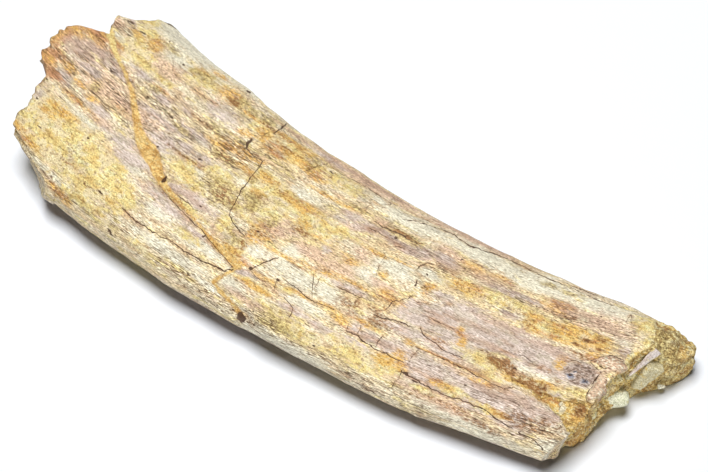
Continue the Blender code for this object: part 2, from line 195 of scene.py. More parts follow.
# Stains on the top, as ovals (along, across, half length, half width). They overlap, and the
# material lays them over one another.
STAINS = {
    "mauve": [
        (-88, 3, 7, 2.8), (-83, 7, 6, 1.9), (-84, -5.6, 4, 2.4), (-80, 1, 5, 1.2),
        (-74, 5.4, 6, 1.2), (-70, -6.5, 5, 1.3), (-84, -15, 1.6, 2.6), (-80, -18.6, 2.8, 1.3),
        (-77, -21.6, 4.6, 2), (-71, -22, 3, 1.2), (-86, 20.4, 3, 0.8), (-69, 9.4, 4, 1),
        (-59.6, 7.8, 3, 1.3), (-52, 9, 3, 0.8), (-55, 2.6, 6, 1.6), (-50, -1, 6, 1.8),
        (-58, -8.8, 5.6, 2), (-53, -11, 5.6, 2.2), (-47, 5.4, 6, 1.5), (-44.5, 0.2, 3, 1.8),
        (-38, 1, 4.4, 1.5), (-49, -3.6, 3, 1.4), (-44, 16, 5.6, 2.8), (-33, -9.6, 7.6, 1.9),
        (-41, -14.3, 5.6, 2), (-34, -16, 6, 1.5), (-27, -16.6, 6, 1), (-18, -12.6, 3, 1.5),
        (-17.5, -1.4, 2.6, 1), (-10, -18.6, 4, 1.1), (-12, 23.4, 8, 1), (5, 11, 3.4, 1.8),
        (9, 10.4, 5, 1.9), (15, 10.7, 6, 1.3), (20.5, 10, 5, 1.4), (26.5, 11, 3.4, 2),
        (1.5, 8.2, 2, 1), (4, -1.8, 1.6, 1), (13.5, -8, 6.6, 1), (21.5, -17, 1.6, 1.6),
        (25.8, -16.9, 2.8, 1.8), (31, -16.4, 3, 1.8), (24, -20, 3.4, 0.8), (32, 12, 4, 1.6),
        (50, 11, 4.4, 1), (57, 11.6, 4.4, 1), (55, 5.4, 3, 0.9), (85.6, 7.2, 1.9, 1.4),
        (73, -10.5, 2.4, 1), (44, -11.2, 9, 2.2), (33, -11.4, 5.6, 1.8), (66, -22.4, 5, 1),
        (76.8, -3.6, 3.6, 4), (37.5, 2, 4, 1.6), (5, -20.4, 5, 1.1), (15, -20.8, 4, 1),
    ],
    "pink": [
        (-92, -6, 4, 1.5), (-66, 15, 5, 3), (-87, 16.6, 3.4, 1.5), (-67, -8, 6, 1.4),
        (-73, 0, 8, 4), (-58, 0, 6, 3), (-10, -3.6, 5, 3), (2, -4.6, 5, 2), (12.5, 2, 2.6, 2),
        (10, -4.4, 5, 1.6), (33, 13.6, 4.4, 2.6), (12, 13.6, 3, 0.9), (66, 13, 5.6, 2.4),
        (80, 12.6, 7, 3.4), (83.4, 3, 3.6, 1.6), (82.4, -4, 1.8, 4), (0, 23.6, 22, 1.9),
        (34, 23.6, 16, 1.6), (46, -23.2, 12, 1.6), (4, 8, 4, 1), (50, -14.8, 11, 0.9),
        (-22, -12.4, 2.4, 1.8), (22, -3.4, 4, 1.4), (-6, -24, 6, 0.8),
    ],
    "crust": [
        (-76, 14.2, 6, 3.2), (-78, 17.4, 3.4, 2), (-76, 20.8, 5, 1.7), (-82, 24.6, 2.4, 4.4),
        (-57.6, 21.4, 3, 1.5), (-56, 20.6, 5, 2.6), (-71, 12.4, 5, 1.5), (-41, -4.2, 5, 2.8),
        (-37, -6.4, 5, 1.8), (-32, 0.4, 4.4, 2.2), (-21, 5.4, 6, 4), (-15, -0.8, 6, 2.6),
        (-15, 5.4, 7, 2), (-19, -4.6, 5, 2), (-2, 3.2, 6, 3.8), (-9, 4.6, 4, 2),
        (-16, -14.4, 3, 2.2), (-21.6, -11, 2.4, 2.6), (-28.4, -18.6, 4.4, 1.2),
        (-33, -12.6, 8, 0.9), (1.2, -16.8, 2.4, 0.9), (-6, -20, 4, 0.9), (10, -24.4, 8, 1.5),
        (24, -22.8, 7, 2.2), (1, -22.8, 4, 1), (41, 7.4, 6, 2.2), (51, 8, 5, 1.8),
        (58, 8.2, 5.6, 1.5), (63, 5.4, 4, 2.2), (70, 6.4, 6, 2.2), (77, 7.2, 6, 2.4),
        (54, -10.2, 5.4, 2), (56, -13, 3.6, 1.3), (64, -11, 6, 1.3), (70, -9.6, 4, 1.4),
        (89, 16.6, 3.4, 4), (91, 12.4, 1.6, 3.4), (79, -8.4, 4, 1.3), (50.6, -20.2, 3, 1.4),
        (-37, -27.4, 3.6, 1), (-55, -27.6, 9, 1), (5, 5, 4, 1.2), (33, -21.4, 3.6, 2.2),
        (60, -20.8, 4, 0.9), (-62, 12, 3, 1), (-22, 18.6, 17, 3), (-5, 18.4, 7, 2.4),
        (44, -22.8, 4, 0.8),
    ],
    "ochre": [
        (-91, -5, 3, 1.2), (-84.4, -3, 2.6, 1.3), (-92.6, 6.6, 3.4, 1.5), (-88, 8.2, 5.6, 1.1),
        (-94.6, 3, 1.4, 4), (-85, 11.8, 3.6, 1.2), (-81.6, 11.4, 2.6, 0.8), (-80, 18.2, 3.4, 0.9),
        (-74.2, 19.6, 2.4, 2), (-75, -13.6, 4.6, 1.5), (-77.4, -16, 3.4, 1), (-75, -8.6, 6, 0.8),
        (-73.4, -5.2, 2, 1.1), (-79, -4, 2.4, 0.9), (-76, -25.2, 3.6, 0.9), (-82, -24, 2.4, 1),
        (-62, -29.2, 4, 0.7), (-61.4, 9.4, 2.8, 0.7), (-57.4, 22, 2.4, 0.8),
        (-54.6, 25.2, 2.6, 0.9), (-46.4, 21.6, 3.8, 2.8), (-31, 10, 5.6, 1.2), (-34.6, 8.4, 6, 1.1),
        (-38.6, 7.4, 3.4, 1.1), (-35, 15, 2.4, 1.3), (-31, 17.4, 3, 1.6), (-22, 20.8, 10, 1.2),
        (-20, 17, 10, 1.3), (-11.6, 15.7, 4.4, 1.3), (-25, 14.6, 4.4, 0.9), (-27, 5.8, 4.4, 1),
        (-20.6, 1.4, 2.4, 1.1), (-21, 6.8, 3, 1.3), (-12.6, 5.4, 4.6, 1), (-9, 5, 3.6, 1.4),
        (-7, 6.6, 3.4, 0.9), (-4.6, 0.6, 2.4, 1.8), (0.4, 0.3, 2.4, 0.9), (-13, -7.4, 3.2, 2.4),
        (-13.6, -10.2, 1.8, 1.6), (-17, -15.6, 4.4, 1.3), (-13, -16.6, 3.4, 1.1),
        (-6, -20.3, 4.4, 0.9), (-5, -17.2, 3.4, 0.6), (1.6, 12.7, 4.4, 0.6), (-7, 12.2, 5.6, 0.5),
        (10.6, -0.9, 2.4, 1.1), (16, 4.5, 3.4, 0.7), (20.6, -0.6, 1.3, 1.4), (22, 5.5, 3.4, 0.5),
        (24.2, -5.4, 3.6, 1.6), (24, -14.6, 5, 0.7), (17, -16.4, 3, 1.4), (12.4, -15.5, 3.4, 0.7),
        (32, -20.4, 3.4, 1.5), (34.6, -17.4, 1.7, 1.2), (35.3, -13.7, 1.5, 0.9),
        (36.2, -20.2, 2.2, 1), (48, -13.7, 9, 0.4), (55, -15.2, 5.6, 0.7), (46.4, -20, 3.4, 0.8),
        (40, 13.8, 4, 1.6), (47.6, 14.2, 3.4, 0.9), (64.6, 13.4, 4.6, 1.8), (40.6, 7, 4.4, 1.5),
        (32.2, 1.4, 1.2, 2.2), (33.4, 3.2, 1.6, 1), (45.2, -4.9, 1.1, 1.6), (46.7, -6.8, 1.2, 1.6),
        (61, 7, 2.6, 1.5), (62.6, 4, 2.6, 1.3), (69.6, 6.9, 4.4, 1.3), (67.4, 4.2, 4, 0.8),
        (71.4, 8.8, 3.4, 0.9), (75.6, 5.4, 5.4, 1.6), (79, 7.6, 3, 1.5), (78.6, 3.4, 3, 1.2),
        (78.8, 6.2, 5, 2), (71.5, -1.9, 1.5, 1.8), (64.4, -11, 5.4, 1.1), (61, -9.8, 2.4, 0.9),
        (72.4, -12.3, 4.6, 0.9), (70.6, -8.8, 3.4, 0.9), (62.6, -20.6, 2.4, 1),
        (80.6, -13.2, 1.8, 1.6), (84.6, -12, 1.7, 1.7), (88, -2.6, 1.8, 1.1), (3, -8.5, 4, 0.6),
        (8.4, -7.4, 4.6, 0.9), (16, -6.2, 5, 0.5), (5, -16, 5, 0.5), (-4, -9.6, 7, 0.5),
        (-38, 20, 4, 0.7),
    ],
    "rust": [
        (-94, 4, 2.4, 6), (-91.5, -4, 3.4, 3.4), (-88.6, 10.4, 6, 1.8), (-90.4, -8, 4.4, 1.6),
        (-83.4, 10.8, 4, 1.2), (-86, -7.4, 3, 1.4), (-92.6, -17.6, 1.8, 4), (-80, 9.2, 2, 1),
    ],
    "brown": [
        (-91, -2.4, 3, 0.7), (-88.6, -6.8, 3.4, 0.7), (-94, -1, 1.4, 2), (-85, 9, 5, 0.6),
        (-66, -2, 4, 0.9), (-66, -22.6, 4, 0.4), (-58, -24, 3, 0.3), (-44.4, 20, 2.4, 1),
        (-47, 9.6, 4.6, 0.7), (-35, 9.9, 4.4, 0.6), (-28.6, 11, 3.4, 0.5), (-34.6, 5.3, 3.6, 0.9),
        (-27.6, -4, 2.8, 2), (-5, -1, 3.6, 0.9), (0.6, -0.8, 1.8, 0.5), (-13.2, -7.4, 1.8, 1.2),
        (-14.6, -13.4, 1.1, 2.2), (17.4, -11.6, 3.6, 2.2), (19.2, -13.6, 1.8, 1),
        (24.4, -10.2, 3.4, 1.9), (27, -13, 3.6, 1.3), (57.4, -7.5, 3, 1.2), (61.6, -8.4, 3.4, 0.8),
        (53, -7.3, 2.6, 0.5), (68.6, -5, 2.4, 0.8), (72.4, -7.4, 1.6, 1), (60.4, 4.6, 1.8, 1.3),
        (70.2, 11.4, 0.8, 1.5), (40.3, 6.6, 1, 0.5), (70, -20, 7, 1.7), (75.4, -18.4, 4.6, 1.2),
        (38, -21.4, 1.8, 0.4), (93, 19.4, 1.6, 1.4), (50, -23.5, 8, 0.5), (60, -24.4, 6, 0.4),
        (40, -24.6, 6, 0.4), (-16.6, 5.6, 3, 0.8), (-30, 20.4, 12, 0.3), (-24, 17.9, 10, 0.3),
        (63, 10.8, 5, 0.4), (77, 1.6, 3, 0.6), (-45, -1.5, 6, 0.5), (-38, -13.2, 6, 0.4),
        (-71, 6.3, 3, 0.6), (42, -9.8, 3, 0.6),
    ],
    "plum": [
        (-88.6, 3.2, 6.4, 2.4), (-84, 6.6, 5, 1.6), (52, -13, 4.4, 1.4), (11, 10.2, 5, 1.2),
        (19, 10, 5, 0.9), (33, 10, 6, 1.4), (42, 12, 6, 2), (56, 2, 7, 1), (66, 1, 6, 1.2),
        (47, -1.6, 5, 0.9), (55, -5.2, 6, 0.9), (66, -16, 8, 1.6), (58, -16.6, 6, 1),
        (38, -4, 4, 0.8), (30, -17, 5, 0.8), (46, 12.2, 7, 2.2), (-33, -10, 5, 0.8), (0, 24, 20, 1),
        (36, 23.6, 14, 1), (70, 13.4, 6, 1.4),
    ],
    "umber": [
        (58.1, -8.6, 3.8, 1.5), (60.8, -9.2, 2, 0.9), (67.6, -10.2, 3.6, 1.3),
        (64.6, -10.6, 2.4, 0.8), (76, 6.4, 2.4, 0.7), (79.8, 5.2, 1.6, 0.5), (73.2, 4.6, 1.6, 0.4),
        (79, 8.2, 1.8, 0.6), (80.6, -12.1, 1.8, 1.2), (-44.6, 20.2, 1.8, 0.7), (20, 13, 4, 0.4),
        (17.6, 13.6, 2.4, 0.4), (74.4, 2.4, 2.6, 0.5),
    ],
    "olive": [
        (-34, 22.3, 3.6, 1.1), (-42.4, 21.4, 1.5, 2.2), (-37.4, 21, 3.4, 0.7),
        (-42.2, 10.4, 3, 1.5), (-34.4, 5.2, 4.4, 1.1), (-30.4, -3, 3, 2.8), (-25.4, -5.4, 2.4, 1.8),
        (-28, -3.8, 6, 4), (-20, -1.2, 3.2, 2.8), (-24.2, 4, 1.3, 2), (-12, -2.6, 2.4, 1.8),
        (-17, -12.6, 3, 1.6), (19.4, 13, 6, 1.4), (3.4, -25, 4.4, 1.6), (-57, 21.2, 4, 1.4),
        (-69.4, 21.6, 2.4, 0.8), (-75.4, -1.4, 1.5, 1.9), (75, -3.8, 1.2, 1.3),
        (79.3, -4.4, 1, 0.9), (60.4, 18.6, 3, 0.9), (66, 18.4, 3, 0.7), (-49, 4.4, 4, 0.8),
        (-63, 8.6, 2.6, 0.8), (4, 13.6, 3, 0.7), (-34, 12, 9, 0.5), (-22, 12.6, 5, 0.5),
        (-14, 18.6, 1, 3), (97, 12, 3, 3), (92.6, -1, 1.6, 1.6), (54, 24.6, 6, 1.2),
        (94.4, 14.4, 2.6, 5),
    ],
    "pale": [
        (-70, 26.8, 19, 3.6), (-66, 20.2, 4.6, 2.6), (-83, 13.6, 3, 1.2), (-70, -11.4, 5, 1),
        (-57.5, -20.4, 1.5, 1), (-62, -27.4, 9, 0.9), (-50, -12.8, 4, 1.2), (-37, -18.2, 5, 1.4),
        (-20, -19.2, 9, 1.2), (-24, -18.2, 7, 0.8), (-11.6, -12.6, 3.6, 2.2), (-11, -23, 3.6, 1.4),
        (-10, 8.6, 5, 1.6), (-1.8, 3.2, 3, 2.6), (23, 3, 6, 3.2), (18, -2.8, 5, 2),
        (-3, -7, 2.6, 1.8), (3, -12.6, 7, 2), (-3.6, -12, 4, 2.2), (10.4, -12, 4.6, 2.2),
        (8, -18, 4.6, 1.3), (4, -18.6, 2.6, 0.9), (18, 18.2, 12, 2.4), (40, 18.8, 15, 2.8),
        (58, 18, 12, 3.4), (76, 18, 8, 2.4), (31.2, 5.6, 3.6, 1.6), (41.4, -6.4, 5, 1.4),
        (63.4, -6.6, 3.6, 1.2), (70, -7, 2.4, 1.2), (83.6, 3, 3.4, 1.4), (82.5, -4.4, 1.4, 3.6),
        (84.4, 9.6, 2.8, 1.4), (80.4, -18.6, 4, 1.2), (74.6, -14.6, 3.4, 0.8), (77, -23.2, 4, 1.4),
        (10, -27.4, 14, 0.8), (-30, -24.6, 14, 1.2), (55, -25, 16, 0.9), (40, -22.6, 3, 0.8),
        (-38.4, -3, 3, 1), (-32, 2, 5, 0.9), (-44, 27, 4, 1), (36.6, 2, 3, 1), (-16, -25.6, 9, 0.8),
        (7, 19.8, 3.4, 1.2), (-25, 2.6, 2, 1.4), (-43, 5, 4, 0.9),
    ],
    "fibre": [
        (-76, 0, 17, 8), (-50, 3, 15, 7), (-84, 18, 6, 4), (-22, 18.6, 18, 3.6), (0, -26.6, 60, 2),
        (70, -21, 14, 4), (60, -18, 20, 3), (-32, 8, 10, 4), (60, 9, 18, 3.4), (84, 10, 4, 5),
        (-62, -27.6, 14, 1.6), (30, 10, 10, 3),
    ],
}
# Patches with a shape of their own, as outlines
OUTLINES = {
    "mauve": [
        [
            (27, -8.6), (30, -3.5), (35, -1.4), (39, 0.6), (41, 3), (50, 2.8), (60, 3), (70, 2),
            (79, 1), (81.6, -1.6), (80.6, -6.4), (74, -7.4), (66, -6.6), (56, -6.4), (48, -8.6),
            (38, -9.4),
        ],
        [
            (28, -15.2), (38, -14.6), (50, -14.6), (60, -13.6), (69, -13), (77, -15.6), (76, -18.4),
            (68, -21.2), (56, -22.2), (44, -22.4), (37, -22.6), (33, -20.4), (30, -19.2),
        ],
    ],
    "crust": [
        [
            (-84, -17.6), (-82, -13.4), (-76, -12.2), (-64, -12.6), (-52, -14.8), (-44, -18.6),
            (-43, -21.4), (-47, -25.6), (-58, -26.6), (-72, -26), (-80, -25.4), (-84, -22),
        ],
    ],
}

# Fine cracks on the top, as (half width in millimetres, points)
CRACKS = [
    (0.22, [(-29.7, 26), (-29.2, 22.6), (-29.3, 19.8)]),
    (0.1, [(-30.4, 19.4), (-31, 17), (-32.6, 15.4)]),
    (0.4, [(-32.8, 14.6), (-32.5, 12.8), (-31.9, 11.2)]),
    (0.14, [(-31.9, 11.2), (-29, 10.6), (-25.8, 10.7), (-25.3, 9), (-25.1, 5)]),
    (0.12, [(-25.1, 5), (-24.4, 0), (-23.4, -4.4), (-23.1, -6.6), (-22.4, -7.9)]),
    (0.13, [(-22.4, -7.9), (-19.8, -9.3), (-15.8, -10.3)]),
    (0.12, [(-45.8, -22.9), (-41, -23.4), (-34, -22.7), (-30.8, -22.1)]),
    (0.16, [(-30.8, -22.1), (-25.2, -22.3), (-18, -21.5), (-14.8, -20.6), (-12.8, -19.2)]),
    (0.1, [(-42.6, -11.8), (-39, -13.1), (-32, -14.2), (-26, -15.2), (-13.4, -18.7)]),
    (0.17, [(-9, -17), (-8.2, -15.1), (-6.9, -13), (-5, -10.5)]),
    (0.08, [(-9, -17.2), (-6.4, -18), (-3, -18.6)]),
    (0.11, [(0, -14.9), (2.4, -14.9), (6.4, -15.9), (10, -15.8), (14.6, -15.1)]),
    (0.09, [(5, -9.2), (6.2, -11.4), (7.2, -13.6), (8.2, -15.2)]),
    (0.08, [(6.8, -9), (7, -10.4), (7.6, -13)]),
    (0.1, [(2.2, -18.9), (3.6, -19.3), (5.6, -20), (5.9, -22.6)]),
    (0.08, [(-2, -15.8), (-1.4, -17.4), (-0.6, -19)]),
    (0.11, [(3, 19.2), (7.6, 18.6), (9.2, 19.6), (10.6, 21.6)]),
    (0.08, [(6.1, 18), (5.8, 15), (5.6, 14.2)]),
    (0.1, [(-15.2, 14), (-13.6, 17.6), (-12.2, 20.8), (-11.6, 24)]),
    (0.09, [(-12, 21), (-8, 21.3), (0, 21.6), (4, 21.6), (10, 20.9)]),
    (0.08, [(14.6, 21.5), (20, 21.8), (24, 21.7)]),
    (0.2, [(15.6, 17.8), (19.4, 19.1), (24, 20.4), (28.5, 21.3), (32, 20.8)]),
    (0.3, [(30, 21.2), (35.7, 19.9), (40.1, 20.9), (44.4, 22), (50, 21.9)]),
    (0.24, [(49, 21.9), (53.2, 21.5), (57.4, 21), (61.1, 20.5)]),
    (0.8, [(-81.2, 28), (-79.4, 28.6), (-77.4, 29.4)]),
    (0.12, [(60, 20.7), (62, 20.8), (70, 20.5)]),
    (0.12, [(70, 20.5), (74, 20.2), (79, 20.3)]),
    (0.16, [(65.4, 21.6), (70, 22), (75, 22)]),
    (0.26, [(27.3, 5.8), (27.5, 7.2), (28.3, 8)]),
    (0.15, [(29, 0.9), (29.2, 2.3)]),
    (0.1, [(30.6, -1.2), (29.6, -2.8), (27.4, -5), (26.2, -6), (25.9, -8.6)]),
    (0.16, [(24, -11.5), (26.6, -11.1), (28.2, -10.2), (34, -9.7)]),
    (0.11, [(35.6, -8.6), (37.4, -10.3), (40.6, -10.9), (43.6, -11.7), (49, -11.5)]),
    (0.1, [(37, -14), (44, -13.7), (52, -13.8), (57, -14.4), (62, -14.6)]),
    (0.12, [(20, -18.5), (23, -18.4), (28, -19), (36.4, -18.8)]),
    (0.08, [(19.8, -15.6), (20, -18.5)]),
    (0.08, [(22.6, -15.4), (22.9, -17.4), (23.1, -18.4)]),
    (0.08, [(28.6, -15.2), (28.2, -17.4), (28.4, -19.8)]),
    (0.08, [(38.2, -14), (37.4, -17), (36.9, -21), (36.8, -23), (35.8, -25.8)]),
    (0.12, [(37, -21.2), (41.4, -21.6), (48, -21.8), (54, -21.2), (59.6, -21.2)]),
    (0.13, [(60, -21.4), (61.6, -22), (67, -22.6)]),
    (0.13, [(68.6, -22.8), (71.6, -23), (75.4, -23.9)]),
    (0.07, [(39.6, 0.8), (38, -0.6), (35, -1.8), (31, -3)]),
    (0.08, [(31, -6), (33.8, -6), (35.4, -5.2), (44, -5.2)]),
    (0.1, [(61.4, -14.6), (62.2, -13.6), (63.2, -13)]),
    (0.08, [(83.8, 19.2), (83.2, 16.6), (83, 14.8)]),
    (0.08, [(83.8, 19.2), (84.4, 16.8), (85.2, 14.8)]),
    (0.08, [(-67.6, 19.4), (-66, 18.6), (-64.4, 16.6), (-63.8, 15.8), (-58, 15.9)]),
    (0.08, [(-58, 15.9), (-52, 16), (-47.6, 16.2), (-46.4, 17.6)]),
    (0.07, [(-66, 18.8), (-63, 18.7), (-59, 19)]),
    (0.07, [(18, 5), (18.2, 1.4), (19, -1.6)]),
    (0.1, [(10, 10), (12.6, 10.3), (15, 10.3)]),
    (0.12, [(18.6, 9), (21.2, 9.6)]),
    (0.1, [(31.4, 9.4), (33.4, 9.7)]),
    (0.12, [(10, 12.7), (12, 12.5), (17, 12.7), (23.4, 12.7)]),
    (0.1, [(-86.6, 2.1), (-84.6, 1.7), (-83, 1.9)]),
    (0.09, [(-83.4, 8.8), (-80.6, 8.4), (-79.4, 7.8)]),
    (0.09, [(12, -9.2), (15, -9), (20.4, -8.6)]),
    (0.09, [(-37, -11.2), (-31, -11.7), (-28.4, -11.5)]),
    (0.08, [(72, -1.6), (74.6, 0.2), (79, 0.8), (82, -0.8), (81.6, -3.4), (80.4, -6.4)]),
    (0.08, [(-45, -1.6), (-41, -1.3), (-37, -1)]),
    (0.08, [(57, -5.2), (60.6, -4.4), (62.6, -3.9), (65, -4.6)]),
    (0.12, [(78.8, 1.4), (80.9, 3.6), (83.4, 4.9), (86.6, 4.6)]),
    (0.1, [(81.2, 0.6), (83.2, 0.6), (82, -1.2)]),
    (0.12, [(81.8, -1.6), (81.3, -3.4), (81.5, -5.6), (80.6, -8.4), (81.4, -9.6)]),
]
# Short open pores: (along, across, half length, half width)
PORES = [
    (-42.9, -9.6, 0.5, 1.1), (-32.6, 13.2, 0.6, 1.6), (-5.4, -27, 1.6, 0.9),
    (-85.2, 19.6, 1.6, 0.3), (-79.6, 19.4, 1.4, 0.3), (-81.4, 16.2, 0.9, 0.3),
    (-9, 19.3, 1.1, 0.24), (-39, 0.4, 0.7, 0.3), (-76, 4.7, 1.6, 0.26), (17.4, 11.1, 0.6, 0.3),
    (30.2, 5.6, 0.6, 0.3), (-13.2, -7.6, 0.5, 0.3), (-1.8, -15.8, 0.7, 0.5),
    (-9.3, -16.8, 0.6, 0.5), (-53.4, 5.1, 1, 0.24), (83.2, -17.6, 0.7, 0.5), (-80, 28.4, 1.8, 0.5),
    (-52.6, -23.1, 1.2, 0.26), (-45.2, -28.8, 1.7, 0.26), (-22, -26.1, 0.9, 0.2),
    (36, 14.5, 0.5, 0.24), (76.6, 15.2, 0.4, 0.3), (-50.3, -3.9, 0.5, 0.4), (-30, -10.2, 0.7, 0.3),
    (-24.2, -16, 0.3, 0.4), (-61.8, -12.5, 0.6, 0.24), (-62.6, 5.4, 0.6, 0.24),
    (-71.4, 1, 0.8, 0.24), (-82.6, -3.4, 0.8, 0.24), (-65, -14.6, 0.5, 0.4),
    (-63.8, 20.2, 0.5, 0.4), (-72.6, 23.3, 0.4, 0.3), (-44.6, 26.4, 0.9, 0.6),
    (41, -21.6, 1.2, 0.3), (38, -21, 1, 0.3), (60.2, 20.7, 0.8, 0.3), (-91, 0.4, 0.4, 0.2),
    (59.8, 10.7, 0.6, 0.2), (61.6, -8.2, 0.9, 0.2), (14.4, -25.2, 0.5, 0.2),
    (52.6, -17.3, 0.6, 0.2), (82.6, -12, 0.3, 0.4), (79.2, -4.3, 0.5, 0.4), (74.6, -4.2, 0.6, 0.3),
    (-85.8, -9.6, 0.3, 0.3), (-77, -20.8, 1, 0.18), (-83.2, -15.6, 0.7, 0.2),
]

# The vein of rock: its path, its half width at each point of the path, and its thin branch
VEIN = [
    (-87.4, 13.4), (-85.9, 12.8), (-83.5, 11.5), (-80.6, 9.8), (-77.4, 8.6), (-75, 7.7), (-73, 6.9),
    (-70, 5.3), (-67.6, 4.3), (-65.4, 2.6), (-62, 0), (-58, -3), (-54.6, -5.2), (-50.6, -6.4),
    (-47, -8.2), (-44, -10), (-40, -11.6), (-36, -12.3), (-31, -13.5), (-26, -14.8), (-20, -16.4),
    (-12, -18),
]
VEIN_HALF_WIDTHS = [
    1.2, 1.1, 0.9, 0.7, 0.6, 0.5, 0.5, 0.5, 0.6, 0.8, 0.9, 1.2, 1.8, 2.2, 1.8, 1.3, 0.9, 0.5, 0.3,
    0.4, 0.8, 0.8,
]
VEIN_BRANCH = [(-12, -17.6), (-13.6, -20.6), (-15.6, -24.4), (-11, -25.8), (-5.6, -26.6)]
VEIN_BRANCH_HALF_WIDTH = 0.45

# Where the bone stops at the broken end, as (across, along), and the step of rock beside it
BONE_STOP = [
    (-26, 77.5), (-21, 79.6), (-17, 83.4), (-12, 83.4), (-8, 83.2), (-4, 84.2), (-1.7, 85.2),
    (2.6, 86.6), (6.4, 87), (8, 88.4), (10, 91.4), (13, 92), (17, 91), (26, 90.4),
]
ROCK_STEP = [
    (66, -11.6), (71, -13), (76.8, -15.4), (79.4, -18), (83, -18.6), (90, -10), (83.2, -9.6),
    (78.6, -9.6), (76, -11.2), (72, -10.4),
]

# Forms at the broken end: loose flakes of bone (rise in millimetres, outline), the hollow, and
# its nodules and the white crystal beside it, both as ovals
FLAKES = [
    (0.55, [
        (79, 1.6), (81, 3.4), (83.4, 4.6), (86.6, 4.2), (87.4, 3), (86.4, 0.8), (84.6, 0.4),
        (83.6, -0.6), (82.2, -1), (83.2, 0.8), (81, 0.9),
    ]),
    (0.6, [
        (82, -1.6), (84.2, -1.8), (84.7, -4.4), (84.2, -6.4), (83.2, -8.4), (81.6, -9.4),
        (80.9, -8.4), (81.8, -5.6), (81.6, -3.4),
    ]),
]
HOLLOW = [
    (72.6, -2.4), (75.8, 0), (79.2, 0.6), (81, -0.8), (81.2, -2.4), (81, -4.8), (80, -6.4),
    (77.2, -6.6), (75.2, -6), (73.2, -4.2),
]
NODULES = [(75.2, -4.6, 1.7, 1), (79.2, -4.9, 1.2, 1), (76, -3, 0.7, 0.5)]
WHITE_CRYSTAL = [(76.2, -12.8, 0.8, 0.9), (75.4, -11.9, 0.5, 0.5)]

# Pulls on the stone's edges, in millimetres: a place, the reach of the pull and its move
PULLS = [
    ((80.7, -13, 2), 2.6, (-1.7, 1, 0)),
    ((82.9, -10, 0.8), 2.6, (-0.8, 1, 0)),
    ((79.4, -16.4, 2.5), 2.4, (0.5, -0.5, 0)),
    ((84.5, -6, 3), 2.6, (-0.6, 0.3, 0)),
    ((87, 9, 9), 3, (-1.2, 0.9, 0)),
    ((90.5, 14.2, 14), 2.4, (-0.9, 0.9, 0)),
    ((95.8, 26.6, 9), 3, (-1.2, -0.7, 0)),
    ((94.6, 25, 4.5), 3.6, (1.6, 0.9, 0)),
    ((92.1, 16.9, 0.5), 4.5, (-0.6, 0.85, 0)),
    ((88.8, 12.6, 0.5), 4.5, (-0.4, 0.7, 0)),
    ((94.2, 20.8, 0.5), 4, (-0.4, 0.6, 0)),
    ((-80.8, 32.2, 11.5), 3, (-0.8, 0.3, 0.8)),
]


def vein_depth(along, across):
    """Distance in from the sides of the vein and its branch, in millimetres."""
    distance, walked = path_distance(VEIN, along, across)
    lengths = [math.dist(start, end) for start, end in zip(VEIN, VEIN[1:])]
    shares = np.concatenate(([0.0], np.cumsum(lengths))) / sum(lengths)
    main = np.interp(walked, shares, VEIN_HALF_WIDTHS) - distance
    branch, _ = path_distance(VEIN_BRANCH, along, across)
    return np.maximum(main, VEIN_BRANCH_HALF_WIDTH - branch)


def crack_share(along, across, height):
    """How open the surface is at a place, from 0 to 1, and how far the nearest crack is."""
    wander = 0.34 * streak_noise(along, across, height, 1.5, 1.5, 5.0)
    wander += 0.16 * streak_noise(along, across, height, 0.6, 0.6, 9.0)
    open_share = 1.4 * inside_ovals(PORES, along + wander, across + wander)
    nearest = np.full(along.shape, np.inf)
    for half_width, path in CRACKS:
        distance, walked = path_distance(path, along + wander, across - wander)
        taper = 0.4 + 0.6 * np.sqrt(np.clip(4.0 * walked * (1.0 - walked), 0.0, 1.0))
        opening = 1.0 - distance / (0.75 * half_width * taper + 0.09)
        strength = 0.52 + 0.48 * smooth(0.07, 0.13, half_width)
        open_share = np.maximum(open_share, strength * opening)
        nearest = np.minimum(nearest, distance)
    return np.clip(open_share, 0.0, 1.0), nearest


def read_vectors(items, name):
    """One vector for each of a mesh's items, such as the places of its vertices."""
    values = np.empty(len(items) * 3)
    items.foreach_get(name, values)
    return values.reshape(-1, 3)


def read_mesh(mesh):
    """Points and normals of a mesh's vertices."""
    return read_vectors(mesh.vertices, "co"), read_vectors(mesh.vertex_normals, "vector")


def read_faces(mesh):
    """Centres and normals of a mesh's faces."""
    return read_vectors(mesh.polygons, "center"), read_vectors(mesh.polygons, "normal")


def select_faces(mesh, wanted):
    """Select exactly the faces marked in wanted."""
    mesh.vertices.foreach_set("select", np.zeros(len(mesh.vertices), bool))
    mesh.edges.foreach_set("select", np.zeros(len(mesh.edges), bool))
    mesh.polygons.foreach_set("select", wanted)


rib = bpy.data.objects.new("petrified_rib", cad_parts["rib"].data.copy())
bpy.context.scene.collection.objects.link(rib)
filled_side.objects.link(rib)
bpy.ops.object.select_all(action="DESELECT")
bpy.context.view_layer.objects.active = rib
rib.select_set(True)

MERGE_DISTANCE = 0.000002
FLAT_PAIR = math.radians(60.0)
SHARP_EDGE = math.radians(34.0)
SHARP_EDGE_CREASE = 0.8
ROUNDING_LEVELS = 2
bpy.ops.object.mode_set(mode="EDIT")
bpy.ops.mesh.select_mode(type="EDGE")
bpy.ops.mesh.select_all(action="SELECT")
bpy.ops.mesh.remove_doubles(threshold=MERGE_DISTANCE)
bpy.ops.mesh.tris_convert_to_quads(face_threshold=FLAT_PAIR, shape_threshold=FLAT_PAIR)
bpy.ops.mesh.select_all(action="DESELECT")
bpy.ops.mesh.edges_select_sharp(sharpness=SHARP_EDGE)
bpy.ops.transform.edge_crease(value=SHARP_EDGE_CREASE)
bpy.ops.object.mode_set(mode="OBJECT")
bpy.ops.object.modifier_add(type="SUBSURF")
rounding = rib.modifiers[0]
rounding.levels = ROUNDING_LEVELS
rounding.render_levels = ROUNDING_LEVELS
